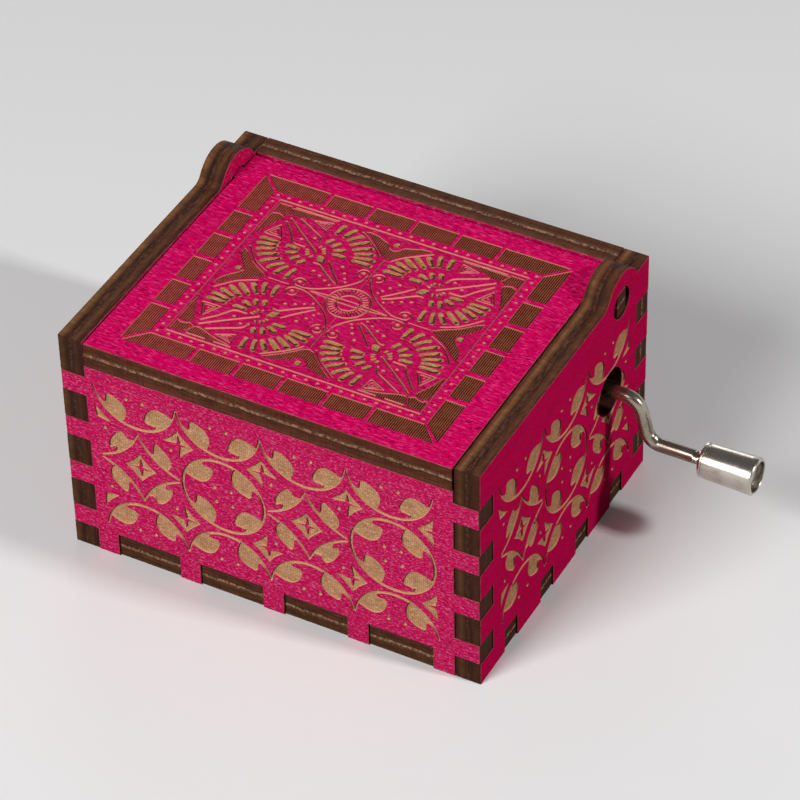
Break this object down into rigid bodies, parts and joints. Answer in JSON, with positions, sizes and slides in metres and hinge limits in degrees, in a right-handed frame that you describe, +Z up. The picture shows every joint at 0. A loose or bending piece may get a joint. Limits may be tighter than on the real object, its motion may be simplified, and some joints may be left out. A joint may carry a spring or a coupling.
{
  "type": "hand cranked music box",
  "caption": "Finger-jointed plywood case with a pivoting lid over a pinned cylinder, comb and worm drive, turned by a Z-bent crank with a sleeve knob.",
  "frame": {"origin": "centre of the case's underside, on the surface it stands on", "axes": "+X is the crank side, along the crank's axis and the longest extent; +Y is the lid's hinge side; +Z is up"},
  "size_m": [0.0865, 0.0514, 0.0407],
  "materials": {
    "painted_plywood": "matt magenta paint over laser-cut plywood, engraved ornament, burnt brown edges",
    "cast_zinc": "satin die-cast zinc",
    "spring_steel": "ground steel",
    "plated_steel": "bright zinc-plated steel",
    "polished_nickel": "polished nickel plate",
    "brass": "bright turned brass",
    "dark_plastic": "moulded black plastic",
    "white_plastic": "moulded natural acetal"
  },
  "bodies": {
    "case": {"front_panel": "painted_plywood", "back_panel": "painted_plywood", "left_panel": "painted_plywood", "right_panel": "painted_plywood", "bottom_panel": "painted_plywood", "movement_frame": "cast_zinc", "comb": "spring_steel", "comb_screw_front": "plated_steel", "comb_screw_back": "plated_steel", "arbor_bracket": "plated_steel", "bracket_screw_left": "plated_steel", "bracket_screw_right": "plated_steel", "mounting_screw_back": "plated_steel", "mounting_screw_front": "plated_steel"},
    "lid": {"lid": "painted_plywood"},
    "crank": {"crank_shaft": "spring_steel", "worm": "brass", "shaft_clip": "spring_steel", "crank_rod": "polished_nickel", "knob_washer": "plated_steel"},
    "knob": {"knob": "polished_nickel"},
    "cylinder": {"drum": "brass", "drum_cap_front": "dark_plastic", "drum_cap_back": "dark_plastic", "drum_arbor": "spring_steel", "worm_wheel": "white_plastic"}
  },
  "joints": [
    {"name": "lid_hinge", "type": "hinge", "parent": "case", "child": "lid", "pos_m": [0, 0.0169, 0.0356], "axis": [-1, 0, 0], "range_deg": [0, 135]},
    {"name": "crank_spin", "type": "hinge", "parent": "case", "child": "crank", "pos_m": [0.006, 0.0138, 0.0223], "axis": [1, 0, 0], "continuous": true},
    {"name": "cylinder_spin", "type": "hinge", "parent": "case", "child": "cylinder", "pos_m": [0.006, 0, 0.0142], "axis": [0, 1, 0], "continuous": true},
    {"name": "knob_spin", "type": "hinge", "parent": "crank", "child": "knob", "pos_m": [0.05042, 0.0138, 0.0153], "axis": [1, 0, 0], "continuous": true}
  ],
  "couplings": [
    {"joint": "cylinder_spin", "follows": "crank_spin", "ratio": -0.041667}
  ]
}
